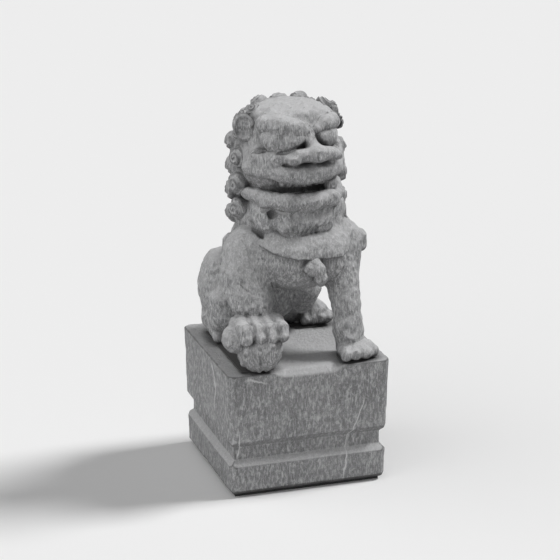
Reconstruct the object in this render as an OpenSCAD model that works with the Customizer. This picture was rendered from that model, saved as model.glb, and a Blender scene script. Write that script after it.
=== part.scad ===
// Stone guardian lion seated on a grooved square plinth, its right forepaw on a
// brocade ball. The lion faces -Y, +X is its left side and +Z is up. The origin is
// the centre of the underside of the base pad.

/* [Plinth] */
// Width of the plinth across its top, left to right
plinth_w = 203; // [198:1:230]
// Depth of the plinth across its top, front to back
plinth_d = 199; // [194:1:226]
// Height of the plinth's top face above the ground
plinth_top = 156; // [150:1:170]
// How much narrower each side stands at the foot than at the top
side_taper = 3.5; // [0:0.5:5]
// Chamfer on the plinth's upright edges
edge_chamfer = 6.5; // [3:0.5:9]
// Underside of the upper block, where the groove starts
groove_top = 73; // [68:1:80]
// Top of the lower block, where the groove ends
groove_bottom = 39.4; // [34:0.2:44]
// How far the groove is cut in
groove_depth = 7.4; // [5:0.2:9]
// Chamfer along the top and the bottom of the groove
groove_chamfer = 10; // [6:0.5:12]
// Chamfer along the plinth's bottom edge
foot_chamfer = 5.9; // [3:0.1:8]
// Fall of the worn slope cut along the middle of the front top edge
wear_drop = 8; // [3:0.5:10]

/* [Base pad] */
// Thickness of the pad glued under the plinth
pad_t = 2.6; // [1.6:0.2:4]
// How far the pad stands in from the plinth's sides
pad_inset = 11; // [10:0.5:15]

/* [Joint between lion and plinth] */
// Thickness of the bedding under the lion's contact faces
bed_t = 1.2; // [0.8:0.2:2]
// Radius of each steel dowel
dowel_r = 4; // [3:0.25:4.5]
// Length of each dowel, half in the plinth and half in the lion
dowel_len = 44; // [36:2:50]
// Gap for resin between a dowel and its hole
dowel_gap = 0.4; // [0.3:0.1:0.6]

/* [Lion] */
// Height of the head's top above the plinth
head_top = 309; // [305:1:312]
// Turn of the head towards the lion's left, in degrees
head_turn = 8; // [4:1:10]
// Radius of the ball under the right forepaw
ball_r = 27; // [26:0.5:28]
// Radius of the curls down the sides of the mane
curl_r = 13.5; // [12:0.5:14]
// Radius of the left eyeball
eye_r = 14; // [12:0.5:15]
// How far the hips are swung over to the lion's right
hips_swing = 17; // [14:1:19]

/* [Hidden] */

FINE = 18;                        // facets round a large carved form
MID = 14;                         // facets round a medium one
SMALL = 10;                       // facets round a curl or a claw
head_at = [2, -12, 0];            // axis that the head turns about
ball_at = [-58, -85, 26];         // centre of the ball above the plinth
hips_x = -hips_swing;
dowel_places = [[-58, -84], [60, -68], [-62, 48], [36, 62]];
bed_discs = [[64, -72, 21], [44, 58, 20], [-58, 46, 24], [-14, 66, 14]];

// A rounded form drawn round balls given as [x, y, z, radius]
module form(balls, facets = SMALL) {
    hull() for (b = balls) translate([b[0], b[1], b[2]]) sphere(r = b[3], $fn = facets);
}

// An egg with its own three radii, turned about the upright axis after tilting
module egg(centre, radii, turn = 0, tilt = 0, facets = MID) {
    translate(centre) rotate([tilt, 0, turn]) hull() scale(radii) sphere(r = 1, $fn = facets);
}

// A limb through balls given as [x, y, z, radius], joined one to the next
module limb(balls, facets = SMALL) {
    for (i = [0:len(balls) - 2]) form([balls[i], balls[i + 1]], facets);
}

module on_plinth() { translate([0, 0, plinth_top]) children(); }

module in_head() { translate(head_at) rotate([0, 0, head_turn]) children(); }

// Everything below the lion's bedded underside
module below_bed() {
    translate([-150, -150, bed_t - 60]) cube([300, 300, 60]);
}

module dowel_holes() {
    for (p = dowel_places)
        translate([p[0], p[1], -dowel_len / 2])
            cylinder(r = dowel_r + dowel_gap, h = dowel_len + 0.4, $fn = 32);
}

// ---- base ----

module base_pad() {
    color("#222222")
    translate([-plinth_w / 2 + pad_inset, -plinth_d / 2 + pad_inset, 0])
        cube([plinth_w - 2 * pad_inset, plinth_d - 2 * pad_inset, pad_t]);
}

// Half width of a side at a height, a little less towards the foot
function side_at(half, z) = half - side_taper * (plinth_top - z) / plinth_top;

function plinth_edge(half) = [
    [side_at(half, pad_t) - foot_chamfer, pad_t],
    [side_at(half, pad_t + foot_chamfer), pad_t + foot_chamfer],
    [side_at(half, groove_bottom), groove_bottom],
    [side_at(half, groove_bottom) - groove_depth, groove_bottom + groove_depth],
    [side_at(half, groove_top) - groove_depth, groove_top - groove_chamfer],
    [side_at(half, groove_top), groove_top - groove_chamfer + groove_depth],
    [half, plinth_top]];

// Whole outline of the plinth seen from one side
function plinth_side(half) = concat(plinth_edge(half),
    [for (i = [6:-1:0]) [-plinth_edge(half)[i][0], plinth_edge(half)[i][1]]]);

module corner_cuts() {
    reach = (plinth_w / 2 + plinth_d / 2 - edge_chamfer) / sqrt(2);
    for (i = [0:3]) rotate([0, 0, 45 + 90 * i]) translate([reach, -60, plinth_top])
        rotate([0, atan(side_taper * sqrt(2) / plinth_top), 0])
            translate([0, 0, -220]) cube([50, 120, 260]);
}

// The slope worn along the middle of the front top edge, running out at both ends
module worn_edge() {
    intersection() {
        translate([0, -plinth_d / 2, plinth_top - wear_drop]) rotate([asin(wear_drop / 12), 0, 0])
            translate([-80, -20, 0]) cube([160, 60, 40]);
        translate([0, 0, plinth_top]) rotate([90, 0, 0]) linear_extrude(plinth_d)
            polygon([[-52, 1], [-34, -wear_drop - 1], [30, -wear_drop - 1], [48, 1]]);
    }
}

module plinth() {
    color("#8c8e8f")
    difference() {
        intersection() {
            translate([0, plinth_d, 0]) rotate([90, 0, 0])
                linear_extrude(2 * plinth_d) polygon(plinth_side(plinth_w / 2));
            translate([-plinth_w, 0, 0]) rotate([90, 0, 90])
                linear_extrude(2 * plinth_w) polygon(plinth_side(plinth_d / 2));
        }
        corner_cuts();
        worn_edge();
        on_plinth() translate([0, 0, -dowel_len / 2])
            for (p = dowel_places) translate([p[0], p[1], -0.4])
                cylinder(r = dowel_r + dowel_gap, h = dowel_len, $fn = 48);
    }
}

// Mortar under the lion's right side, its left forepaw, left hind paw and rump
module bedding() {
    color("#3c3d3e")
    on_plinth() difference() {
        union() {
            translate([-82, -88, 0]) cube([40, 150, bed_t]);
            intersection() {
                for (b = bed_discs) translate([b[0], b[1], 0]) cylinder(r = b[2], h = bed_t, $fn = 64);
                translate([-150, -88, -1]) cube([300, 300, 10]);
            }
        }
        for (p = dowel_places) translate([p[0], p[1], -1])
            cylinder(r = dowel_r + dowel_gap, h = bed_t + 2, $fn = 48);
    }
}

module dowels() {
    color("#c8ccd0")
    on_plinth() for (p = dowel_places)
        translate([p[0], p[1], -dowel_len / 2]) cylinder(r = dowel_r, h = dowel_len, $fn = 48);
}

// ---- body ----

module torso_form() {
    egg([3, -38, 124], [66, 45, 43], facets = FINE);
    egg([3, -10, 166], [66, 48, 44], facets = FINE);
    egg([-5, 14, 122], [60, 46, 50], facets = FINE);
    egg([hips_x, 44, 62], [50, 40, 50], facets = FINE);
    egg([hips_x + 4, 72, 14], [30, 14, 16]);
}

module right_haunch_form() {
    egg([-60, 50, 62], [33, 37, 44], facets = FINE);
    egg([-59, 50, 86], [28, 32, 24]);
    egg([-65, 54, 87], [17, 24, 18]);
    egg([-60, 46, 26], [31, 38, 30]);
    limb([[-66, 24, 50, 24], [-68, 18, 32, 18]], MID);
}

module left_haunch_form() {
    egg([24, 52, 64], [35, 38, 42], facets = FINE);
    egg([28, 66, 34], [28, 22, 34]);
    limb([[34, 32, 54, 21], [36, 40, 36, 14]], MID);
}

module right_hind_paw_form() {
    limb([[-68, 34, 14, 14], [-66, 24, 10, 12]]);
    for (i = [0:3]) limb([[-80 + i * 10, 24, 13, 8], [-80 + i * 10, 12 + 2 * abs(i - 1.5), 8, 6.5]]);
}

module left_hind_paw_form() {
    limb([[42, 62, 26, 14], [52, 58, 16, 14]]);
    egg([55, 58, 14], [20, 18, 17]);
    for (i = [0:3]) limb([[46 + i * 8, 54, 18 - i * 2.5, 9], [41 + i * 10, 45, 9, 7]]);
}

module right_foreleg_form() {
    egg([-54, -34, 124], [33, 32, 40]);
    egg([-65, -48, 106], [27, 25, 28]);
    limb([[-64, -50, 98, 26], [-62, -58, 80, 24], [-58, -66, 62, 21]], MID);
}

module left_foreleg_form() {
    egg([54, -32, 126], [32, 30, 40]);
    limb([[54, -48, 102, 22], [57, -60, 66, 17.5], [58, -65, 36, 16.5], [60, -68, 12, 18]], MID);
}

module left_forepaw_form() {
    egg([65, -76, 9], [24, 19, 13]);
    for (i = [0:3]) limb([[55 + i * 6.5, -78, 14, 8], [48 + i * 12, -93 + 2.6 * pow(i - 1, 2), 8, 7.2]]);
}

module right_forepaw_form() {
    egg([-60, -73, 56], [31, 22, 14]);
    egg([-85, -80, 40], [19, 18, 19]);
    for (x = [-80, -65, -50, -36])
        limb([[x, -80, 58, 8.5], [x, -97, 55, 9], [x + 1, -103, 46, 7.5]]);
}

module torso() {
    color("#85888a")
    on_plinth() difference() {
        torso_form();
        below_bed();
        dowel_holes();
    }
}

module right_haunch() {
    color("#85888a")
    on_plinth() difference() {
        right_haunch_form();
        torso_form();
        below_bed();
        dowel_holes();
    }
}

module left_haunch() {
    color("#85888a")
    on_plinth() difference() {
        left_haunch_form();
        torso_form();
        right_haunch_form();
        below_bed();
        dowel_holes();
    }
}

module right_hind_paw() {
    color("#8c8f91")
    on_plinth() difference() {
        right_hind_paw_form();
        right_haunch_form();
        torso_form();
        below_bed();
        dowel_holes();
    }
}

module left_hind_paw() {
    color("#8c8f91")
    on_plinth() difference() {
        left_hind_paw_form();
        left_haunch_form();
        torso_form();
        below_bed();
        dowel_holes();
    }
}

module right_foreleg() {
    color("#888b8d")
    on_plinth() difference() {
        right_foreleg_form();
        torso_form();
        right_haunch_form();
    }
}

module left_foreleg() {
    color("#888b8d")
    on_plinth() difference() {
        left_foreleg_form();
        torso_form();
        left_haunch_form();
        below_bed();
        dowel_holes();
    }
}

module right_forepaw() {
    color("#909395")
    on_plinth() difference() {
        right_forepaw_form();
        right_foreleg_form();
    }
}

module left_forepaw() {
    color("#909395")
    on_plinth() difference() {
        left_forepaw_form();
        left_foreleg_form();
        below_bed();
        dowel_holes();
    }
}

// The ball carries ribbon bands from pole to pole that stand out of it
module brocade_ball_form() {
    egg(ball_at, [ball_r + 0.5, ball_r + 1.4, 26.5], facets = FINE);
    for (turn = [0:36:144]) translate(ball_at) rotate([90, 0, turn])
        hull() translate([0, 0, -2]) cylinder(r = ball_r + 1.6, h = 4, $fn = FINE);
}

module brocade_ball() {
    color("#7f8284")
    on_plinth() difference() {
        brocade_ball_form();
        right_forepaw_form();
        right_foreleg_form();
        below_bed();
        dowel_holes();
    }
}

// ---- head ----

crown = head_top - 262;                    // rise of the skull above its middle

module head_form() {
    egg([-3, 2, 258], [61, 50, crown], facets = FINE);
    egg([-3, -12, 222], [56, 36, 38]);
    egg([-8, -16, 280], [50, 38, 26]);
    egg([-4, 0, 290], [46, 40, crown - 32]);
    limb([[-35, -34, 288, 16], [-5, -41, 290, 15], [27, -35, 288, 14]], MID);
    egg([-5, -48, 272], [22, 13, 15]);
    egg([-40, -12, 240], [25, 34, 34]);
    egg([34, -12, 240], [24, 34, 34]);
}

module muzzle_form() {
    limb([[-62, -20, 235, 8], [-52, -42, 236, 10], [-36, -59, 234, 11.5], [-16, -67, 234, 11.5],
          [0, -70, 235, 11], [16, -66, 235, 11], [31, -54, 234, 10], [41, -40, 235, 9],
          [50, -20, 235, 8]]);
    limb([[-5, -58, 278, 7], [-4, -70, 263, 9]]);
    limb([[-24, -71, 256, 8], [-2, -79, 258, 10], [20, -72, 256, 8]]);
    egg([-27, -68, 252], [12, 12, 7], facets = SMALL);
    egg([24, -69, 252], [11, 12, 7], facets = SMALL);
    limb([[-56, -34, 248, 11], [-40, -56, 250, 9.5], [-22, -62, 256, 9]]);
    limb([[40, -36, 246, 10], [30, -52, 250, 9], [16, -60, 256, 8]]);
}

module lower_jaw_form() {
    limb([[-62, -18, 204, 8], [-50, -40, 200, 9.5], [-30, -59, 198, 10.5], [0, -65, 197, 10.5],
          [24, -60, 198, 10.5], [38, -44, 200, 10], [50, -18, 204, 8]]);
    egg([-3, -32, 192], [46, 34, 14]);
}

module beard_form() {
    for (x = [-30:15:30])
        limb([[x - 3, -52, 186, 12], [x * 0.84 - 6, -56, 170, 10], [x * 0.5 - 12, -54, 158, 6]]);
    egg([-44, -24, 178], [19, 27, 26]);
    egg([36, -22, 178], [18, 26, 26]);
}

module brows_form() {
    limb([[-9, -58, 282, 7], [-22, -58, 286, 10], [-37, -51, 289, 12], [-50, -34, 289, 10]]);
    limb([[7, -58, 282, 6], [19, -55, 286, 9], [32, -46, 286, 9], [42, -28, 284, 8]]);
}

module right_eye_form() { egg([-34, -51, 272], [26, 14.5, 16], -30, -12); }

module left_eye_form() { egg([18, -56, 269.5], [eye_r + 1.5, eye_r - 1.5, eye_r + 0.5], 14); }

module right_ear_form() { egg([-65, -12, 281], [14, 6.5, 19], -38, 8); }

module left_ear_form() { egg([56, -2, 277], [10, 5, 15], 38, 8); }

// Hair mass at one side of the head with curls down it in two rows
module side_mane_form(side) {
    egg([side * 36, 16, 230], [32, 34, 64]);
    for (c = [[271, 9], [243, curl_r - 1], [211, curl_r + 0.5], [181, curl_r]])
        form([[side * 63, 2, c[0], c[1]]]);
    for (z = [168:29.5:257]) form([[side * 58, 26, z, curl_r - 0.5]]);
    form([[side * 52, 22, 281, 11]]);
    form([[side * 56, 6, 290, 7.5]]);
    form([[side * 45, 2, 296, 8]]);
}

// Hair mass behind the head with staggered rows of curls, and a row over the crown
module back_mane_form() {
    egg([0, 24, 230], [42, 30, 66]);
    for (row = [0:4], i = [-1:1]) {
        x = (i + (row % 2) / 2 - 0.25) * 27;
        form([[x, 48 - abs(x) * 0.2 - row * 1.2, 172 + row * 27, curl_r]]);
    }
    for (x = [-34:21.5:30.5])
        form([[x, 6 + abs(x) * 0.1, head_top - 11.2 - abs(x) * 0.12, 12.8]]);
    for (x = [-26:26:26]) form([[x, 26, 296, 12]]);
}

module head() {
    color("#85888a")
    on_plinth() difference() {
        in_head() head_form();
        torso_form();
    }
}

module muzzle() {
    color("#8e9193")
    on_plinth() difference() {
        in_head() muzzle_form();
        in_head() head_form();
    }
}

module lower_jaw() {
    color("#85888a")
    on_plinth() difference() {
        in_head() lower_jaw_form();
        in_head() head_form();
        in_head() muzzle_form();
        torso_form();
    }
}

module beard() {
    color("#7c7f81")
    on_plinth() difference() {
        in_head() beard_form();
        in_head() lower_jaw_form();
        in_head() head_form();
        torso_form();
    }
}

module brows() {
    color("#94979a")
    on_plinth() in_head() difference() {
        brows_form();
        head_form();
        muzzle_form();
    }
}

module eye_solid() {
    on_plinth() in_head() difference() {
        children();
        head_form();
        muzzle_form();
        brows_form();
    }
}

module right_eye() { color("#6f7274") eye_solid() right_eye_form(); }

module left_eye() { color("#6f7274") eye_solid() left_eye_form(); }

// The upper row, and the large fang at the left of the mouth
module teeth() {
    color("#9a9da0")
    on_plinth() in_head() difference() {
        union() {
            for (x = [-32:8:24]) limb([[x - 3, -59 + x * x * 0.007, 226, 4.2],
                                       [x - 3, -59 + x * x * 0.007, 219, 3.8]]);
            egg([27, -55, 213], [8, 9, 10], facets = SMALL);
        }
        muzzle_form();
        lower_jaw_form();
        head_form();
    }
}

module right_ear() {
    color("#94979a")
    on_plinth() in_head() difference() {
        right_ear_form();
        egg([-68.5, -17.5, 281], [9.5, 5, 14], -38, 8);
        head_form();
        side_mane_form(-1);
        brows_form();
    }
}

module left_ear() {
    color("#94979a")
    on_plinth() in_head() difference() {
        left_ear_form();
        head_form();
        side_mane_form(1);
        brows_form();
    }
}

module side_mane(side) {
    on_plinth() difference() {
        in_head() side_mane_form(side);
        in_head() head_form();
        in_head() lower_jaw_form();
        torso_form();
    }
}

module right_mane() { color("#7f8284") side_mane(-1); }

module left_mane() { color("#7f8284") side_mane(1); }

module back_mane() {
    color("#7f8284")
    on_plinth() difference() {
        in_head() back_mane_form();
        in_head() head_form();
        in_head() side_mane_form(-1);
        in_head() side_mane_form(1);
        torso_form();
    }
}

// ---- dress and hair on the body ----

// Height of the bib's lower hem over the chest, drawn up towards both shoulders
function hem(x) = 130 + 0.0062 * pow(min(x + 2, 0), 2) + 26 * pow(max(x - 42, 0) / 34, 2)
    - 3 * max(min(x / 40, 1), 0);

// A thin bib over the chest, open below the hem
module collar_form() {
    intersection() {
        union() {
            egg([3, -38, 128], [68.5, 51, 44], facets = FINE);
            egg([3, -12, 166], [69, 53, 48], facets = FINE);
        }
        translate([0, -6, 0]) rotate([90, 0, 0]) linear_extrude(90)
            polygon(concat([for (x = [-66:8:70]) [x, hem(x)]], [[70, 196], [-66, 196]]));
    }
}

module collar_bell_form() {
    limb([[11, -85, 127, 6], [14, -87, 117, 8], [17, -85, 107, 8], [19, -81, 98, 5]]);
    limb([[4, -85, 126, 4], [1, -86, 120, 6], [5, -87, 113, 5]]);
}

module right_shoulder_curls_form() {
    limb([[-68, -6, 126, 9], [-72, 4, 110, 8], [-70, 8, 94, 6]]);
    limb([[-66, 6, 134, 9], [-65, 20, 118, 7]]);
}

module left_shoulder_curls_form() {
    limb([[70, -36, 142, 11], [80, -32, 136, 11.5], [84, -28, 125, 10]]);
    limb([[76, -6, 134, 9], [78, 10, 122, 7]]);
}

module tail_form() {
    limb([[hips_x, 80, 16, 11], [hips_x, 80, 50, 13], [hips_x + 3, 73, 80, 13],
          [hips_x + 8, 60, 108, 11], [hips_x + 12, 52, 130, 6]]);
    for (side = [-1, 1])
        limb([[hips_x + side * 8, 80, 42, 10], [hips_x + side * 19, 74, 68, 10],
              [hips_x + side * 27, 62, 96, 5]]);
}

module collar() {
    color("#9a9da0")
    on_plinth() difference() {
        collar_form();
        torso_form();
        right_foreleg_form();
        left_foreleg_form();
        in_head() beard_form();
        in_head() lower_jaw_form();
        in_head() head_form();
    }
}

module collar_bell() {
    color("#94979a")
    on_plinth() difference() {
        collar_bell_form();
        collar_form();
        torso_form();
        left_foreleg_form();
    }
}

module right_shoulder_curls() {
    color("#94979a")
    on_plinth() difference() {
        right_shoulder_curls_form();
        torso_form();
        right_foreleg_form();
        right_haunch_form();
    }
}

module left_shoulder_curls() {
    color("#94979a")
    on_plinth() difference() {
        left_shoulder_curls_form();
        torso_form();
        left_foreleg_form();
        left_haunch_form();
    }
}

module tail() {
    color("#8c8f91")
    on_plinth() difference() {
        tail_form();
        torso_form();
        right_haunch_form();
        left_haunch_form();
        below_bed();
    }
}

base_pad();
plinth();
bedding();
dowels();
torso();
right_haunch();
left_haunch();
right_hind_paw();
left_hind_paw();
right_foreleg();
left_foreleg();
right_forepaw();
left_forepaw();
brocade_ball();
head();
muzzle();
lower_jaw();
beard();
brows();
right_eye();
left_eye();
teeth();
right_ear();
left_ear();
right_mane();
left_mane();
back_mane();
collar();
collar_bell();
right_shoulder_curls();
left_shoulder_curls();
tail();
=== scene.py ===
"""Looks of the stone guardian lion: the carved stone is worked out as a distance field in millimetres
above the plinth's top, cut into the frame's own nodes, and given procedural stone."""

import math

import bpy
import numpy as np
import openvdb
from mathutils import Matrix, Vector


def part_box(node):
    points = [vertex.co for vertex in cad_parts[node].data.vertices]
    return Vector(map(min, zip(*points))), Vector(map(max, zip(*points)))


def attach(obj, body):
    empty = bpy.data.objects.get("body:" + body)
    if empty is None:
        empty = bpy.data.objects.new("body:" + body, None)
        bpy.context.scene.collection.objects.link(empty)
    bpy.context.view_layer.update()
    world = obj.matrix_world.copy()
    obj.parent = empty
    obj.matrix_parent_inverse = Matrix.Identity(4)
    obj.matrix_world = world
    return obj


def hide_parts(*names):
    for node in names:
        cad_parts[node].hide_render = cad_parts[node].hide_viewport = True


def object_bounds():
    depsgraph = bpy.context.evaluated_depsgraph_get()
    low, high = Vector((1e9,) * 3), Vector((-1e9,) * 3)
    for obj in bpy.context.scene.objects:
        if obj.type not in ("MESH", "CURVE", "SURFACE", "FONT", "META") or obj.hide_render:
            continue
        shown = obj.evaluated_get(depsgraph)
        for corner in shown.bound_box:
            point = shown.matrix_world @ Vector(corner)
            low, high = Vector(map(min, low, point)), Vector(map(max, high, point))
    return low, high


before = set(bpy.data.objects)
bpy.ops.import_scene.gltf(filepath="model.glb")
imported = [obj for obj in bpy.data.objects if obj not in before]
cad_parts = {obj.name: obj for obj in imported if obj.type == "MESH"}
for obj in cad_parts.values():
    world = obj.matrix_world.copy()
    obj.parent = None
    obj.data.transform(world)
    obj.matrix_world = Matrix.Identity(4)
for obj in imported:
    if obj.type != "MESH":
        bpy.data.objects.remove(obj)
CAD_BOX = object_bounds()

MM = 0.001
PITCH = 1.0      # voxel of the carving, mm
MARGIN = 5.0                            # how far past its own skin a region is worked out, mm
SEAM = 2.5                              # how far a region's solid runs on under its neighbour, mm
FAR = 60.0                              # distance given where nothing is near, mm
BAND = FAR / 10                         # distances are cut off at this when a piece is meshed, mm
SKIN_GAP = 0.3                          # how far the carving stays inside its limits, mm

PLINTH_LOW, PLINTH_HIGH = (Vector(c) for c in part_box("plinth"))
PLINTH_W = PLINTH_HIGH.x - PLINTH_LOW.x
PLINTH_D = PLINTH_HIGH.y - PLINTH_LOW.y
TOP = PLINTH_HIGH.z                     # the lion's own z starts at the plinth's top face
BED = 1.2                               # the lion stands this far above the plinth, mm
HEAD_TOP = (CAD_BOX[1][2] - TOP) / MM - 0.4
HEAD_AT = (2.0, -12.0)                  # upright axis that the head turns about
HEAD_TURN = math.radians(8)


# ---- carving kit: every shape is (function of x, y, z; lowest corner; highest corner), in mm ----

def vec(*v):
    return np.array(v, np.float32)


def egg(centre, radii, turn=0.0, tilt=0.0):
    """An ellipsoid, turned about z and then tilted about its own x, both in degrees."""
    c, r = vec(*centre), vec(*radii)
    a, b = math.radians(turn), math.radians(tilt)
    rows = np.array([[math.cos(a), math.sin(a), 0],
                     [-math.sin(a) * math.cos(b), math.cos(a) * math.cos(b), math.sin(b)],
                     [math.sin(a) * math.sin(b), -math.cos(a) * math.sin(b), math.cos(b)]], np.float32)
    reach = np.sqrt(((rows * r[:, None]) ** 2).sum(0))

    def distance(x, y, z):
        x, y, z = x - c[0], y - c[1], z - c[2]
        local = [row[0] * x + row[1] * y + row[2] * z for row in rows]
        k0 = np.sqrt(sum((q / s) ** 2 for q, s in zip(local, r)))
        k1 = np.sqrt(sum((q / (s * s)) ** 2 for q, s in zip(local, r))) + 1e-6
        return k0 * (k0 - 1) / k1
    return distance, c - reach, c + reach


def to_segment(x, y, z, a, b):
    """Distance to the segment a-b, and how far along it the nearest point is."""
    ab = b - a
    px, py, pz = x - a[0], y - a[1], z - a[2]
    t = np.clip((px * ab[0] + py * ab[1] + pz * ab[2]) / max(float(ab @ ab), 1e-6), 0, 1)
    return np.sqrt((px - t * ab[0]) ** 2 + (py - t * ab[1]) ** 2 + (pz - t * ab[2]) ** 2), t


def limb(*balls, soft=3.0):
    """A rounded limb through balls given as (x, y, z, radius)."""
    pts = [vec(*b) for b in balls]
    if len(pts) == 1:
        pts = pts * 2

    def distance(x, y, z):
        out = None
        for p, q in zip(pts, pts[1:]):
            d, t = to_segment(x, y, z, p[:3], q[:3])
            d = d - (p[3] + t * (q[3] - p[3]))
            out = d if out is None else soft_min(out, d, soft)
        return out
    return (distance, np.min([p[:3] - p[3] for p in pts], 0), np.max([p[:3] + p[3] for p in pts], 0))


def soft_min(a, b, k):
    if k <= 0:
        return np.minimum(a, b)
    h = np.maximum(k - np.abs(a - b), 0) / k
    return np.minimum(a, b) - h * h * k * 0.25


def curl(centre, out, radius, hand=1, depth=1.6, turns=2.1):
    """A snail of hair: a dome facing the direction `out` with a spiral groove cut in it."""
    c, n = vec(*centre), vec(*out)
    n = n / np.linalg.norm(n)
    u = np.cross(n, vec(0, 0, 1) if abs(n[2]) < 0.9 else vec(1, 0, 0))
    u = u / np.linalg.norm(u)
    v = np.cross(n, u)

    def distance(x, y, z):
        x, y, z = x - c[0], y - c[1], z - c[2]
        a = x * u[0] + y * u[1] + z * u[2]
        b = x * v[0] + y * v[1] + z * v[2]
        h = x * n[0] + y * n[1] + z * n[2]
        flat = np.sqrt(a * a + b * b)
        dome = np.sqrt(a * a + b * b + (h * 1.05) ** 2) - radius
        wave = flat / radius * turns - hand * np.arctan2(b, a) / (2 * math.pi)
        groove = 0.5 - 0.5 * np.cos(2 * math.pi * wave)
        near = np.clip(flat / (0.16 * radius), 0, 1) * np.clip((h / radius + 0.5) * 2, 0, 1)
        return dome + depth * near * (1 - groove) ** 1.5 - 0.4 * depth
    return distance, c - radius - depth, c + radius + depth


def in_head(x, y, z):
    """A place given in the head's own axes: x to its left, -y ahead."""
    s, t = math.sin(HEAD_TURN), math.cos(HEAD_TURN)
    return (HEAD_AT[0] + x * t - y * s, HEAD_AT[1] + x * s + y * t, z)


def head_egg(centre, radii, turn=0.0, tilt=0.0):
    return egg(in_head(*centre), radii, math.degrees(HEAD_TURN) + turn, tilt)


def head_limb(*balls, soft=3.0):
    return limb(*[(*in_head(*b[:3]), b[3]) for b in balls], soft=soft)


def head_curl(centre, out, radius, hand=1, **more):
    tip = np.subtract(in_head(*np.add(centre, out)), in_head(*centre))
    return curl(in_head(*centre), tip, radius, hand, **more)


def both(make):
    """The shapes that make(side) gives for the right side, -1, and the left side, +1."""
    return [shape for side in (-1, 1) for shape in make(side)]


class Stone:
    """The block of stone as voxels, and the named regions that it is carved into."""

    def __init__(self, low, high):
        self.low = np.array(low, np.float32)
        self.count = (np.ceil((np.array(high) - self.low) / PITCH)).astype(int) + 1
        self.skin = np.full(self.count, FAR, np.float32)
        self.first = np.full(self.count, FAR, np.float32)
        self.second = np.full(self.count, FAR, np.float32)
        self.owner = np.full(self.count, -1, np.int8)
        self.regions = {}

    def window(self, low, high, margin):
        i = np.floor((low - margin - self.low) / PITCH).astype(int)
        j = np.ceil((high + margin - self.low) / PITCH).astype(int) + 1
        i, j = np.clip(i, 0, self.count), np.clip(j, 0, self.count)
        axes = [(self.low[a] + PITCH * np.arange(i[a], j[a])).astype(np.float32) for a in range(3)]
        return tuple(slice(a, b) for a, b in zip(i, j)), np.meshgrid(*axes, indexing="ij", sparse=True)

    def region(self, name, blend, shapes, soft=4.0):
        """Adds a named region made of shapes that melt together by `soft` and into the stone by `blend`."""
        margin = max(blend, soft) + MARGIN
        low = np.min([s[1] for s in shapes], 0)
        high = np.max([s[2] for s in shapes], 0)
        whole, _ = self.window(low, high, margin)
        here = np.full(self.skin[whole].shape, FAR, np.float32)
        for distance, lo, hi in shapes:
            part, xyz = self.window(lo, hi, margin)
            inner = tuple(slice(p.start - w.start, p.stop - w.start) for p, w in zip(part, whole))
            here[inner] = soft_min(here[inner], distance(*xyz).astype(np.float32), soft)
        self.skin[whole] = soft_min(self.skin[whole], here, blend)
        first, second, owner = self.first[whole], self.second[whole], self.owner[whole]
        index = len(self.regions)
        wins = here < first
        np.copyto(second, first, where=wins)
        np.copyto(second, here, where=~wins & (here < second))
        np.copyto(first, here, where=wins)
        np.copyto(owner, index, where=wins)
        self.regions[name] = (index, whole, here)

    def groove(self, points, width, depth):
        """Presses a groove of the given half-width and depth along a path; a negative depth is a ridge."""
        pts = [vec(*p) for p in points]
        part, xyz = self.window(np.min(pts, 0), np.max(pts, 0), width * 2.4)
        near = None
        for p, q in zip(pts, pts[1:]):
            d, _ = to_segment(*xyz, p, q)
            near = d if near is None else np.minimum(near, d)
        self.skin[part] += depth * np.exp(-(near / width) ** 2)

    def hollow(self, shape, soft=1.5):
        distance, low, high = shape
        part, xyz = self.window(low, high, soft + 2)
        self.skin[part] = -soft_min(-self.skin[part], distance(*xyz).astype(np.float32), soft)

    def cut_to(self, walls):
        """Cuts the stone off flat at each wall, a function of x, y, z that is positive outside it."""
        _, xyz = self.window(self.low, self.low + self.count * PITCH, 0)
        for wall in walls(*xyz):
            self.skin = np.maximum(self.skin, wall)

    def roughen(self, cell, height, seed, creased=False):
        """Chisel marks: random relief with lumps of about `cell` mm, or scoops that meet in sharp edges."""
        rng = np.random.default_rng(seed)
        lattice = rng.uniform(-1, 1, [int(n * PITCH / cell) + 5 for n in self.count]).astype(np.float32)
        for axis, n in enumerate(self.count):
            at = np.arange(n) * PITCH / cell + 1
            i, f = at.astype(int), (at % 1).astype(np.float32)
            weights = np.zeros((n, lattice.shape[axis]), np.float32)
            rows = np.arange(n)
            for step, w in enumerate([(1 - f) ** 3, 3 * f ** 3 - 6 * f ** 2 + 4,
                                      -3 * f ** 3 + 3 * f ** 2 + 3 * f + 1, f ** 3]):
                weights[rows, i + step - 1] = w / 6
            lattice = np.moveaxis(np.tensordot(weights, lattice, (1, axis)), 0, axis)
        lattice *= height / max(lattice.std(), 1e-6)
        self.skin += 0.6 * np.abs(lattice) - 0.4 * height if creased else 0.5 * lattice

    def piece(self, name):
        """The region's own closed solid: its share of the stone, run on a little under its neighbours."""
        index, part, here = self.regions[name]
        other = np.where(self.owner[part] == index, self.second[part], self.first[part])
        past = here - other
        field = np.maximum(self.skin[part] + 0.6 * np.maximum(past, 0), past - SEAM)
        pad = np.pad(field, 1, constant_values=BAND)
        grid = openvdb.FloatGrid(BAND)
        grid.copyFromArray(np.clip(pad, -BAND, BAND).astype(np.float32))
        points, quads = grid.convertToQuads(isovalue=0.0)
        start = self.low + PITCH * (np.array([s.start for s in part]) - 1)
        points = (points * PITCH + start) * MM + np.array([0, 0, TOP])
        return points, quads[:, ::-1]


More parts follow.
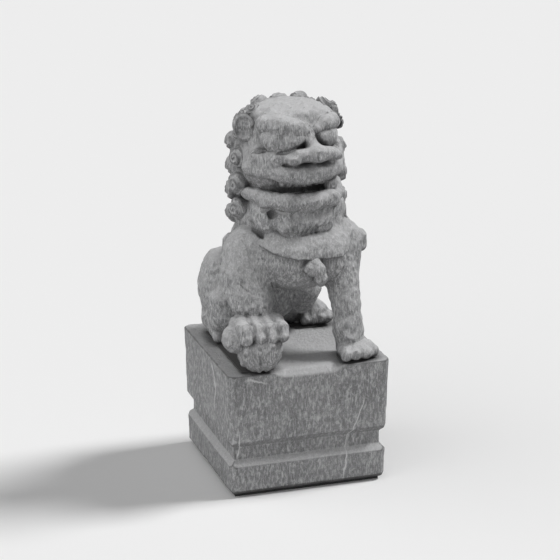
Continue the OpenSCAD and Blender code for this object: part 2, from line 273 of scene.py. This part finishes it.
def make_mesh(name, points, faces, material):
    mesh = bpy.data.meshes.new(name)
    mesh.vertices.add(len(points))
    mesh.vertices.foreach_set("co", np.asarray(points, np.float32).ravel())
    width = faces.shape[1]
    mesh.loops.add(faces.size)
    mesh.loops.foreach_set("vertex_index", np.asarray(faces, np.int32).ravel())
    mesh.polygons.add(len(faces))
    mesh.polygons.foreach_set("loop_start", np.arange(0, faces.size, width, dtype=np.int32))
    mesh.update(calc_edges=True)
    mesh.validate()
    mesh.polygons.foreach_set("use_smooth", [True] * len(mesh.polygons))
    mesh.materials.append(material)
    piece = bpy.data.objects.new(name, mesh)
    bpy.context.scene.collection.objects.link(piece)
    return piece


# ---- the lion ----

HIPS_X = -17        # the lion sits with its hips swung over to its right
EAR_AT = {-1: (-65, -12, 281), 1: (56, -2, 277)}
# tool marks: size of the lumps, height and seed, and whether scoops meet in sharp edges
LION_RELIEF = ((15, 0.9, 3, False), (11, 1.1, 6, True), (6, 0.7, 4, True), (3.4, 0.35, 5, False))


def carve_body(stone):
    stone.region("torso", 12, [
        egg((3, -38, 124), (66, 45, 43)), egg((3, -10, 166), (66, 48, 44)),
        egg((-5, 14, 122), (60, 46, 50)), egg((HIPS_X, 44, 62), (50, 40, 50)),
        egg((HIPS_X + 4, 72, 14), (30, 14, 16))], soft=14)
    stone.region("right_haunch", 7, [
        egg((-60, 50, 62), (33, 37, 44)), egg((-59, 50, 86), (28, 32, 24)),
        egg((-65, 54, 87), (17, 24, 18)),
        egg((-60, 46, 26), (31, 38, 30)), limb((-66, 24, 50, 24), (-68, 18, 32, 18))], soft=10)
    stone.region("left_haunch", 7, [
        egg((24, 52, 64), (35, 38, 42)), egg((28, 66, 34), (28, 22, 34)),
        limb((34, 32, 54, 21), (36, 40, 36, 14))], soft=10)
    stone.region("right_hind_paw", 3, [limb((-68, 34, 14, 14), (-66, 24, 10, 12))] + [
        limb((-80 + i * 10, 24, 13, 8), (-80 + i * 10, 12 + 2 * abs(i - 1.5), 8, 6.5)) for i in range(4)],
        soft=2.5)
    stone.region("left_hind_paw", 3, [limb((42, 62, 26, 14), (52, 58, 16, 14)),
                                      egg((55, 58, 14), (20, 18, 17))] + [
        limb((46 + i * 8, 54, 18 - i * 2.5, 9), (41 + i * 10, 45, 9, 7)) for i in range(4)], soft=2.5)
    stone.region("right_foreleg", 9, [
        egg((-54, -34, 124), (33, 32, 40)), egg((-65, -48, 106), (27, 25, 28)),
        limb((-64, -50, 98, 26), (-62, -58, 80, 24), (-58, -66, 62, 21), soft=8),
        limb((-82, -46, 108, 9), (-80, -52, 92, 7))], soft=9)
    stone.region("left_foreleg", 9, [
        egg((54, -32, 126), (32, 30, 40)), limb((54, -48, 102, 22), (57, -60, 66, 17.5),
                                                 (58, -65, 36, 16.5), (60, -68, 12, 18), soft=8)], soft=10)


def carve_paws(stone):
    stone.region("right_forepaw", 3, [
        egg((-60, -73, 56), (31, 22, 14)), egg((-85, -80, 40), (18, 17, 18))] + [
        limb((x, -80, 58, 8.5), (x, -97, 55, 9), (x + 1, -103, 46, 7.5), soft=2)
        for x in (-80, -65, -50, -36)], soft=1.8)
    stone.region("left_forepaw", 4, [egg((65, -76, 9), (24, 19, 13))] + [
        limb((55 + i * 6.5, -78, 14, 8), (48 + i * 12, -93 + 2.6 * (i - 1) ** 2, 8, 7.2))
        for i in range(4)], soft=2.5)
    ball = (-58, -85, 26)
    ribs = [[(ball[0] + 26 * math.cos(t) * math.cos(a), ball[1] + 26 * math.cos(t) * math.sin(a),
              ball[2] + 25 * math.sin(t), 3) for t in [math.radians(d) for d in range(-60, 61, 20)]]
            for a in [math.radians(d) for d in range(180, 360, 36)]]
    stone.region("brocade_ball", 2, [egg(ball, (27, 27, 26))] + [limb(*rib) for rib in ribs], soft=2)


def carve_head(stone):
    top = HEAD_TOP
    stone.region("head", 8, [
        head_egg((-3, 2, 258), (61, 50, top - 262)), head_egg((-3, -12, 222), (56, 36, 38)),
        head_egg((-8, -16, 280), (50, 38, 26)), head_egg((-4, 0, 290), (46, 40, top - 294)),
        head_limb((-35, -34, 288, 16), (-5, -41, 290, 15), (27, -35, 288, 14)),
        head_egg((-5, -48, 272), (22, 13, 15)), head_egg((-40, -12, 240), (25, 34, 34)),
        head_egg((34, -12, 240), (24, 34, 34))], soft=9)
    stone.region("muzzle", 5, [
        head_limb((-62, -20, 235, 8), (-52, -42, 236, 10), (-36, -59, 234, 11.5), (-16, -67, 234, 11.5),
                  (0, -70, 235, 11), (16, -66, 235, 11), (31, -54, 234, 10), (41, -40, 235, 9),
                  (50, -20, 235, 8), soft=5),
        head_limb((-5, -58, 278, 7), (-4, -70, 263, 9), soft=4),
        head_limb((-24, -71, 256, 8), (-2, -79, 258, 10), (20, -72, 256, 8), soft=5),
        head_egg((-27, -68, 252), (12, 12, 7)), head_egg((24, -69, 252), (11, 12, 7)),
        head_limb((-56, -34, 248, 11), (-40, -56, 250, 9.5), (-22, -62, 256, 9)),
        head_limb((40, -36, 246, 10), (30, -52, 250, 9), (16, -60, 256, 8))], soft=4)
    stone.region("lower_jaw", 4, [
        head_limb((-62, -18, 204, 8), (-50, -40, 200, 9.5), (-30, -59, 198, 10.5), (0, -65, 197, 10.5),
                  (24, -60, 198, 10.5), (38, -44, 200, 10), (50, -18, 204, 8), soft=4),
        head_egg((-3, -32, 192), (46, 34, 14))], soft=4)
    stone.region("beard", 5, [
        head_limb((x - 3, -52, 186, 12), (x * 0.84 - 6, -56, 170, 10), (x * 0.5 - 12, -54, 158, 6), soft=5)
        for x in (-30, -15, 0, 15, 30)] + [head_egg((-44, -24, 178), (19, 27, 26)),
                                            head_egg((36, -22, 178), (18, 26, 26))], soft=6)
    stone.region("brows", 5, [
        head_limb((-9, -58, 282, 7), (-22, -58, 286, 10), (-37, -51, 289, 12), (-50, -34, 289, 10),
                  soft=6),
        head_limb((7, -58, 282, 6), (19, -55, 286, 9), (32, -46, 286, 9), (42, -28, 284, 8), soft=5)],
        soft=3)
    stone.region("right_eye", 4, [head_egg((-34, -51, 272), (26, 14.5, 16), -30, -12)])
    stone.region("left_eye", 1.2, [head_egg((18, -56, 269.5), (15.5, 12.5, 14.5), 14)])
    stone.region("teeth", 0.8, [
        head_limb((x - 3, -59 + x * x * 0.007, 224, 4), (x - 3, -59 + x * x * 0.007, 219, 3.6))
        for x in range(-32, 26, 8)] + [head_egg((27, -55, 213), (8, 9, 10))], soft=0.8)
    stone.region("right_ear", 2, [head_egg(EAR_AT[-1], (14, 6.5, 19), -38, 8)])
    stone.region("left_ear", 2, [head_egg(EAR_AT[1], (10, 5, 15), 38, 8)])


def carve_mane(stone):
    rows = ((271, 9), (243, 12.5), (211, 14), (181, 13.5))
    for name, side in (("right_mane", -1), ("left_mane", 1)):
        shapes = [head_egg((side * 36, 16, 230), (32, 34, 64))]
        shapes += [head_curl((side * 63, 2, z), (side, -0.35, 0.1), r, side) for z, r in rows]
        shapes += [head_curl((side * 58, 26, z), (side, 0.7, 0.1), 13, -side) for z in (168, 197, 227, 257)]
        shapes += [head_curl((side * 52, 22, 281), (side, 0.6, 0.6), 11, side),
                   head_curl((side * 56, 6, 290), (side, -0.2, 0.8), 7.5, -side),
                   head_curl((side * 45, 2, 296), (side * 0.6, -0.3, 1), 8, side)]
        stone.region(name, 2.5, shapes, soft=2)
    back = [head_egg((0, 24, 230), (42, 30, 66))]
    for row, z in enumerate((172, 199, 226, 253, 280)):
        for column in range(-1, 2):
            x = (column + (row % 2) / 2 - 0.25) * 27
            back.append(head_curl((x, 48 - abs(x) * 0.2 - row * 1.2, z), (x / 40, 1, 0.1), 13.5,
                                  1 if column % 2 else -1))
    back += [head_curl((x, 6 + abs(x) * 0.1, HEAD_TOP - 11 - abs(x) * 0.12), (x / 60, -0.1, 1), 9.5,
                       1 if x > 0 else -1) for x in (-34, -12, 10, 30)]
    back += [head_curl((x, 26, 296), (x / 60, 0.7, 1), 12, 1 if x > 0 else -1) for x in (-26, 0, 26)]
    stone.region("back_mane", 2.5, back, soft=2)


def bib_hem(x):
    """Height of the bib's lower hem over the chest, drawn up towards both shoulders."""
    right = 0.0062 * np.minimum(x + 2, 0) ** 2
    left = 26 * np.clip((x - 42) / 34, 0, 1.6) ** 2 - 3 * np.clip(x / 40, 0, 1)
    return 130 + right + left


def carve_dress(stone):
    layers = [egg((3, -38, 128), (66.5, 49, 42)), egg((3, -12, 166), (67, 51, 46))]

    def bib(x, y, z):
        chest = soft_min(layers[0][0](x, y, z), layers[1][0](x, y, z), 14) - 1.5
        return -soft_min(-chest, z - bib_hem(x), 2.0)
    stone.region("collar", 1.5, [(bib, np.minimum(layers[0][1], layers[1][1]) - 2,
                                  np.maximum(layers[0][2], layers[1][2]) + 2)])
    stone.region("collar_bell", 2, [
        limb((11, -85, 127, 6), (14, -87, 117, 8), (17, -85, 107, 8), (19, -81, 98, 5)),
        limb((4, -85, 126, 4), (1, -86, 120, 6), (5, -87, 113, 5), soft=2)])
    stone.region("right_shoulder_curls", 3, [
        limb((-68, -6, 126, 9), (-72, 4, 110, 8), (-70, 8, 94, 6)),
        limb((-66, 6, 134, 9), (-65, 20, 118, 7))])
    stone.region("left_shoulder_curls", 2, [
        limb((70, -36, 142, 11), (80, -32, 136, 11.5), (84, -28, 125, 10)),
        limb((76, -6, 134, 9), (78, 10, 122, 7))])
    stone.region("tail", 3, [
        limb((HIPS_X, 80, 16, 11), (HIPS_X, 80, 50, 13), (HIPS_X + 3, 73, 80, 13),
             (HIPS_X + 8, 60, 108, 11), (HIPS_X + 12, 52, 130, 6)),
        *both(lambda s: [limb((HIPS_X + s * 8, 80, 42, 10), (HIPS_X + s * 19, 74, 68, 10),
                              (HIPS_X + s * 27, 62, 96, 5))])])


def carve_details(stone):
    for path in (((-60, -34, 257), (-50, -48, 254), (-38, -60, 255), (-26, -65, 259), (-15, -66, 267)),
                 ((38, -44, 257), (30, -58, 253), (17, -65, 254), (5, -66, 262), (2, -64, 272))):
        stone.groove([in_head(*p) for p in path], 2.4, 6)
    for path in (((-18, -72, 268), (-34, -66, 261), (-44, -58, 258)),
                 ((-46, -52, 243), (-32, -68, 246), (-20, -78, 249), (0, -84, 247), (22, -76, 249)),
                 ((-52, -46, 228), (-34, -64, 229), (-10, -74, 230), (14, -70, 230), (34, -52, 228)),
                 ((-56, -42, 189), (-32, -66, 187), (-3, -72, 186), (24, -66, 188), (40, -48, 190)),
                 ((-3, -66, 276), (-6, -60, 292), (-4, -46, 302))):
        stone.groove([in_head(*p) for p in path], 1.8, 2.2)
    for side in (-1, 1):
        stone.groove([in_head(side * x, y, z) for x, y, z in
                      ((63, -8, 196), (62, -18, 178), (58, -28, 162), (50, -38, 150))], 3, 5)
        ear = np.add(EAR_AT[side], (side * 3.5, -5.5, 0))
        stone.hollow(head_egg(ear, (9.5, 5, 14), side * 38, 8))
        stone.hollow(head_egg((side * 12 - 3, -86, 250), (4, 3, 2)))
    stone.hollow(head_limb((-58, -40, 217, 3), (-44, -58, 217, 5.5), (-24, -70, 216, 6.5),
                           (4, -72, 216, 6.5), (17, -66, 216, 5)))
    stone.hollow(head_egg((-47, -52, 183), (5, 9, 5)))
    stone.hollow(head_egg((26, -66, 213), (2.2, 4, 2.2)))
    for x in (-34, -24, -14, -4, 6, 16, 27):
        stone.groove([in_head(x - 3, -68, 190), in_head(x * 0.8 - 6, -68, 172),
                      in_head(x * 0.5 - 11, -62, 158)], 1.5, 2.2)
    for z in (112, 98, 84):
        stone.groove([(-88, -46, z + 10), (-84, -60, z), (-74, -72, z - 8)], 2, 2)
        stone.groove([(-80, -70, z + 4), (-66, -80, z - 6), (-52, -82, z - 10)], 1.6, 1.4)
    stone.groove([(76, -46, 132), (80, -44, 122), (86, -36, 114)], 3, 4)
    for x in (-72.5, -57.5, -43):
        stone.groove([(x, -82, 68), (x, -101, 63), (x + 1, -110, 50)], 1.8, 3)


def carve_lion():
    low = [c / MM for c in CAD_BOX[0]]
    high = [c / MM for c in CAD_BOX[1]]
    stone = Stone((low[0] - 3, low[1] - 3, -3), (high[0] + 3, high[1] + 3, HEAD_TOP + 4))
    carve_body(stone)
    carve_paws(stone)
    carve_head(stone)
    carve_mane(stone)
    carve_dress(stone)
    carve_details(stone)
    for layer in LION_RELIEF:
        stone.roughen(*layer)
    stone.cut_to(lambda x, y, z: (BED - z, z - HEAD_TOP, low[0] + SKIN_GAP - x, x - high[0] + SKIN_GAP,
                                  low[1] + SKIN_GAP - y))
    return stone


# ---- the plinth ----

SIDE_TAPER = 3.5                        # how much each side stands in at the foot, mm
# how far the side is cut back at each height below the top: foot chamfer, groove, upper block
CUT_BACK = ((-156, 6.0), (-153.4, 6.0), (-147.5, 0), (-116.6, 0), (-109.2, 7.4), (-93.0, 7.4),
            (-85.6, 0), (0, 0))
CORNER_CUT = 7.5                        # how far the upright corners are cut off, measured across both sides
WEAR_DROP = 8.0                         # fall of the worn slope along the middle of the front top edge
PLINTH_RELIEF = ((24, 0.2, 11), (9, 0.25, 12), (4, 0.2, 13))


def carve_plinth():
    half_w, half_d = PLINTH_W / MM / 2, PLINTH_D / MM / 2
    foot = (PLINTH_LOW.z - TOP) / MM
    stone = Stone((-half_w - 3, -half_d - 3, foot - 3), (half_w + 3, half_d + 3, 3))

    def block(x, y, z):
        taper = SIDE_TAPER * z / foot
        inset = np.interp(z, *zip(*CUT_BACK)).astype(np.float32) + taper + 0.5
        side_x = np.abs(x) - (half_w - inset)
        side_y = np.abs(y) - (half_d - inset)
        corner = (np.abs(x) + np.abs(y) - (half_w + half_d - CORNER_CUT - 2 * taper)) * 0.7071
        ends = np.maximum(z + SKIN_GAP, foot + SKIN_GAP - z)
        fade = np.clip((48 - x) / 20, 0, 1) * np.clip((x + 52) / 22, 0, 1)
        worn = (z + WEAR_DROP * fade - (y + half_d) * 0.894 * fade) * 0.74
        hard = -soft_min(-side_x, -side_y, 1)
        hard = -soft_min(-hard, -corner, 1.5)
        hard = -soft_min(-hard, -ends, 1.5)
        return -soft_min(-hard, -worn, 2)
    stone.region("plinth", 0, [(block, vec(-half_w, -half_d, foot), vec(half_w, half_d, 0))], soft=0)
    for layer in PLINTH_RELIEF:
        stone.roughen(*layer)
    stone.cut_to(lambda x, y, z: (np.abs(x) - half_w, np.abs(y) - half_d, z, foot - z))
    return stone


# ---- materials ----

EDGE_STEP = 0.012       # how far from flat the edge reading is before the pale edge wear, or the painted shade in hollows, begins

def nodes_of(name):
    material = bpy.data.materials.new(name)
    material.use_nodes = True
    tree = material.node_tree
    return material, tree.nodes, tree.links, tree.nodes["Principled BSDF"]


class Paint:
    """Small helpers that wire one procedural material."""

    def __init__(self, name):
        self.material, self.nodes, self.links, self.shader = nodes_of(name)
        self.place = self.nodes.new("ShaderNodeTexCoord").outputs["Object"]

    def give(self, socket, value):
        if hasattr(value, "is_output"):
            self.links.new(value, socket)
        else:
            socket.default_value = value

    def mapped(self, stretch, turn):
        mapping = self.nodes.new("ShaderNodeMapping")
        mapping.inputs["Scale"].default_value = stretch
        mapping.inputs["Rotation"].default_value = [math.radians(a) for a in turn]
        self.links.new(self.place, mapping.inputs["Vector"])
        return mapping.outputs["Vector"]

    def noise(self, scale, detail, stretch=(1, 1, 1), turn=(0, 0, 0), rough=0.55, warp=0.0):
        node = self.nodes.new("ShaderNodeTexNoise")
        node.inputs["Scale"].default_value = scale
        node.inputs["Detail"].default_value = detail
        node.inputs["Roughness"].default_value = rough
        node.inputs["Distortion"].default_value = warp
        self.links.new(self.mapped(stretch, turn), node.inputs["Vector"])
        return node.outputs["Fac"]

    def ramp(self, value, low, high, a=0.0, b=1.0):
        node = self.nodes.new("ShaderNodeMapRange")
        for socket, number in (("From Min", low), ("From Max", high), ("To Min", a), ("To Max", b)):
            node.inputs[socket].default_value = number
        self.links.new(value, node.inputs["Value"])
        return node.outputs["Result"]

    def math(self, kind, a, b):
        node = self.nodes.new("ShaderNodeMath")
        node.operation = kind
        self.give(node.inputs[0], a)
        self.give(node.inputs[1], b)
        return node.outputs["Value"]

    def mix(self, factor, a, b):
        node = self.nodes.new("ShaderNodeMix")
        node.data_type = "RGBA"
        self.give(node.inputs["Factor"], factor)
        self.give(node.inputs["A"], a)
        self.give(node.inputs["B"], b)
        return node.outputs["Result"]

    def edges(self):
        """Bright on edges that stick out, dark in hollows, about 0.5 on the flat."""
        return self.nodes.new("ShaderNodeNewGeometry").outputs["Pointiness"]

    def cracks(self):
        """Distance to the nearest line of a wandering net, for veins."""
        vein = self.nodes.new("ShaderNodeTexVoronoi")
        vein.feature = "DISTANCE_TO_EDGE"
        vein.inputs["Scale"].default_value = 12
        wander = self.nodes.new("ShaderNodeVectorMath")
        wander.operation = "ADD"
        shift = self.nodes.new("ShaderNodeTexNoise")
        shift.inputs["Scale"].default_value = 16
        shift.inputs["Detail"].default_value = 5
        self.links.new(self.place, shift.inputs["Vector"])
        self.links.new(self.mapped((1, 1, 0.4), (0, 12, 0)), wander.inputs[0])
        scaled = self.nodes.new("ShaderNodeVectorMath")
        scaled.operation = "SCALE"
        scaled.inputs["Scale"].default_value = 0.03
        self.links.new(shift.outputs["Color"], scaled.inputs[0])
        self.links.new(scaled.outputs["Vector"], wander.inputs[1])
        self.links.new(wander.outputs["Vector"], vein.inputs["Vector"])
        return vein.outputs["Distance"]

    def bump(self, height, strength, distance, under=None):
        node = self.nodes.new("ShaderNodeBump")
        node.inputs["Strength"].default_value = strength
        node.inputs["Distance"].default_value = distance
        self.links.new(height, node.inputs["Height"])
        if under is not None:
            self.links.new(under, node.inputs["Normal"])
        return node.outputs["Normal"]

    def finish(self, colour, roughness, normal):
        self.give(self.shader.inputs["Base Color"], colour)
        self.give(self.shader.inputs["Roughness"], roughness)
        self.links.new(normal, self.shader.inputs["Normal"])
        return self.material


def grey(value, warm=0.0):
    return (value * (1 + warm), value, value * (1 - warm) * 1.01, 1)


def stone_material(name, level, fleck_turns, fleck_share, veined):
    """Chiselled grey stone: cloudy body, fine pale and dark tool flecks, worn edges, painted shade in
    hollows and creases, tops painted lighter and undersides darker as painted light and shade.
    """
    paint = Paint(name)
    flecks = [paint.noise(900, 3, (1, 1, 0.13), turn, 0.6) for turn in fleck_turns]
    patch = paint.ramp(paint.noise(38, 1), 0.44, 0.56)
    fleck = paint.math("ADD", paint.math("MULTIPLY", flecks[0], patch),
                       paint.math("MULTIPLY", flecks[1], paint.math("SUBTRACT", 1.0, patch)))
    grain = paint.noise(1100, 2)
    chisel = paint.noise(260, 6, (1, 1, 0.5), rough=0.68, warp=0.5)
    colour = paint.mix(paint.ramp(paint.noise(14, 5, rough=0.6), 0.34, 0.66), grey(level * 0.78, -0.012),
                       grey(level * 1.15, -0.004))
    colour = paint.mix(paint.ramp(paint.noise(7, 3, warp=0.6), 0.52, 0.7, 0, 0.35), colour,
                       grey(level * 0.82, -0.03))
    colour = paint.mix(paint.ramp(chisel, 0.36, 0.6, 0.6, 0), colour, grey(level * 0.45))
    colour = paint.mix(paint.ramp(chisel, 0.5, 0.68, 0, 0.7), colour, grey(level * 2))
    colour = paint.mix(paint.ramp(fleck, 0.54, 0.63, 0, fleck_share), colour, grey(level * 2.4))
    colour = paint.mix(paint.ramp(fleck, 0.46, 0.37, 0, fleck_share), colour, grey(level * 0.4))
    colour = paint.mix(paint.ramp(grain, 0.55, 0.7, 0, 0.4), colour, grey(level * 2))
    colour = paint.mix(paint.ramp(grain, 0.42, 0.3, 0, 0.4), colour, grey(level * 0.45))
    # Painted light and shade: faces that point up are painted lighter and faces that point down are painted
    # darker, by the normal's height.
    painted_light_up = paint.nodes.new("ShaderNodeSeparateXYZ")
    paint.links.new(paint.nodes.new("ShaderNodeNewGeometry").outputs["Normal"], painted_light_up.inputs[0])
    colour = paint.mix(paint.ramp(painted_light_up.outputs["Z"], 0.05, 0.9, 0, 0.68), colour, grey(level * 2.5))
    colour = paint.mix(paint.ramp(painted_light_up.outputs["Z"], -0.1, -0.9, 0, 0.55), colour, grey(level * 0.35))
    colour = paint.mix(paint.ramp(paint.edges(), 0.5 + EDGE_STEP, 0.5 + 3 * EDGE_STEP, 0, 0.5), colour,
                       grey(level * 1.8))
    # Painted shade: hollows read from pointiness are painted darker.
    colour = paint.mix(paint.ramp(paint.edges(), 0.5 - EDGE_STEP, 0.5 - 3 * EDGE_STEP, 0, 0.7), colour,
                       grey(level * 0.25))
    if veined:
        line = paint.ramp(paint.cracks(), 0.011, 0.003, 0, 0.8)
        sparse = paint.ramp(paint.noise(11, 2), 0.5, 0.58)
        colour = paint.mix(paint.math("MULTIPLY", line, sparse), colour, grey(level * 2.3))
    # Painted shade: ambient occlusion darkens creases, recesses and the places between parts.
    painted_shade_ao = paint.nodes.new("ShaderNodeAmbientOcclusion")
    painted_shade_ao.samples = 6
    painted_shade_ao.inputs["Distance"].default_value = 0.014
    colour = paint.mix(paint.ramp(painted_shade_ao.outputs["AO"], 0.92, 0.4, 0, 0.85), colour, grey(level * 0.15))
    normal = paint.bump(chisel, 0.9, 0.0035)
    normal = paint.bump(fleck, 0.6, 0.0009, normal)
    normal = paint.bump(grain, 0.4, 0.0003, normal)
    return paint.finish(colour, paint.ramp(fleck, 0.3, 0.7, 0.9, 0.72), normal)


# The mortar bed under the lion is coloured near-black so that it reads as the dark band of shade there:
# painted shade.
def shade_dark_mortar_material():
    paint = Paint("bedding_mortar")
    sand = paint.noise(700, 4, rough=0.7)
    colour = paint.mix(paint.ramp(sand, 0.35, 0.65), grey(0.035), grey(0.08, 0.02))
    colour = paint.mix(paint.ramp(paint.edges(), 0.51, 0.56, 0, 0.4), colour, grey(0.14, 0.02))
    return paint.finish(colour, paint.ramp(sand, 0.3, 0.7, 0.95, 0.8), paint.bump(sand, 0.5, 0.0005))


def rubber_material():
    paint = Paint("pad_rubber")
    mottle = paint.noise(90, 4)
    grit = paint.noise(1500, 2)
    colour = paint.mix(paint.ramp(mottle, 0.4, 0.65), grey(0.008), grey(0.02))
    colour = paint.mix(paint.ramp(paint.edges(), 0.51, 0.6, 0, 0.5), colour, grey(0.05))
    return paint.finish(colour, paint.ramp(mottle, 0.3, 0.7, 0.6, 0.85), paint.bump(grit, 0.4, 0.0002))


def steel_material():
    paint = Paint("dowel_steel")
    brushed = paint.noise(600, 3, (1, 1, 0.03))
    colour = paint.mix(paint.ramp(brushed, 0.35, 0.65), grey(0.42), grey(0.62))
    colour = paint.mix(paint.ramp(paint.edges(), 0.51, 0.6, 0, 0.6), colour, grey(0.75))
    paint.shader.inputs["Metallic"].default_value = 1.0
    return paint.finish(colour, paint.ramp(brushed, 0.3, 0.7, 0.28, 0.45), paint.bump(brushed, 0.3, 0.0001))


# ---- stage ----

CAMERA_TARGET = (-0.00579, 0, 0.23542)
CAMERA_AZIMUTH, CAMERA_ELEVATION, CAMERA_DISTANCE = -17.97, 18.16, 2.7123
CAMERA_LENS, CAMERA_SENSOR = 144.53, 36
WORLD_AMBIENT, WORLD_GLOW, WORLD_GLOW_FROM = 0.13, 1.05, (-0.97, -0.2, 0.2)
KEY_ENERGY, KEY_ANGLE, KEY_FROM = 2.3, 16, (1.0, -0.05, 1.15)
FLOOR_TONE = (0.9, 0.9, 0.9, 1)


def make_camera():
    azimuth, elevation = math.radians(CAMERA_AZIMUTH), math.radians(CAMERA_ELEVATION)
    back = Vector((math.sin(azimuth) * math.cos(elevation), -math.cos(azimuth) * math.cos(elevation),
                   math.sin(elevation)))
    data = bpy.data.cameras.new("camera")
    data.lens, data.sensor_width = CAMERA_LENS, CAMERA_SENSOR
    camera = bpy.data.objects.new("camera", data)
    bpy.context.scene.collection.objects.link(camera)
    camera.location = Vector(CAMERA_TARGET) + back * CAMERA_DISTANCE
    camera.rotation_euler = back.to_track_quat("Z", "Y").to_euler()
    bpy.context.scene.camera = camera


def make_world(ambient, glow, glow_from):
    """An even white surround with one broad brighter side."""
    world = bpy.data.worlds.new("studio")
    bpy.context.scene.world = world
    world.use_nodes = True
    nodes, links = world.node_tree.nodes, world.node_tree.links
    facing = nodes.new("ShaderNodeVectorMath")
    facing.operation = "DOT_PRODUCT"
    links.new(nodes.new("ShaderNodeTexCoord").outputs["Generated"], facing.inputs[0])
    facing.inputs[1].default_value = Vector(glow_from).normalized()
    strength = nodes.new("ShaderNodeMapRange")
    strength.interpolation_type = "SMOOTHSTEP"
    for socket, number in (("From Min", 0.1), ("From Max", 1.0), ("To Min", ambient),
                           ("To Max", ambient + glow)):
        strength.inputs[socket].default_value = number
    links.new(facing.outputs["Value"], strength.inputs["Value"])
    nodes["Background"].inputs["Color"].default_value = (1, 1, 1, 1)
    links.new(strength.outputs["Result"], nodes["Background"].inputs["Strength"])


def make_stage():
    make_world(WORLD_AMBIENT, WORLD_GLOW, WORLD_GLOW_FROM)
    material, nodes, links, shader = nodes_of("pale_floor")
    shader.inputs["Base Color"].default_value = FLOOR_TONE
    shader.inputs["Roughness"].default_value = 0.9
    shader.inputs["Specular IOR Level"].default_value = 0.0
    bpy.ops.mesh.primitive_plane_add(size=30, location=(0, 8, 0))
    floor = bpy.context.object
    floor.name = "floor"
    floor.data.materials.append(material)
    data = bpy.data.lights.new("key", "SUN")
    data.energy, data.angle = KEY_ENERGY, math.radians(KEY_ANGLE)
    light = bpy.data.objects.new("key", data)
    bpy.context.scene.collection.objects.link(light)
    light.rotation_euler = Vector(KEY_FROM).to_track_quat("Z", "Y").to_euler()
    bpy.context.scene.view_settings.view_transform = "Standard"


def dress(piece, name):
    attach(piece, "root")
    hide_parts(name)


make_camera()
make_stage()

lion_stone = stone_material("lion_stone", 0.33, ((20, 35, 0), (-30, -60, 40)), 0.5, False)
lion = carve_lion()
for name in lion.regions:
    dress(make_mesh("stone_" + name, *lion.piece(name), lion_stone), name)

plinth_stone = stone_material("plinth_stone", 0.3, ((4, 10, 0), (-6, -30, 30)), 0.35, True)
dress(make_mesh("stone_plinth", *carve_plinth().piece("plinth"), plinth_stone), "plinth")

# The bedding gets the near-black mortar that stands for shade under the lion (painted shade).
for name, material in (("base_pad", rubber_material()), ("bedding", shade_dark_mortar_material()),
                       ("dowels", steel_material())):
    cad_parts[name].data.materials.clear()
    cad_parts[name].data.materials.append(material)
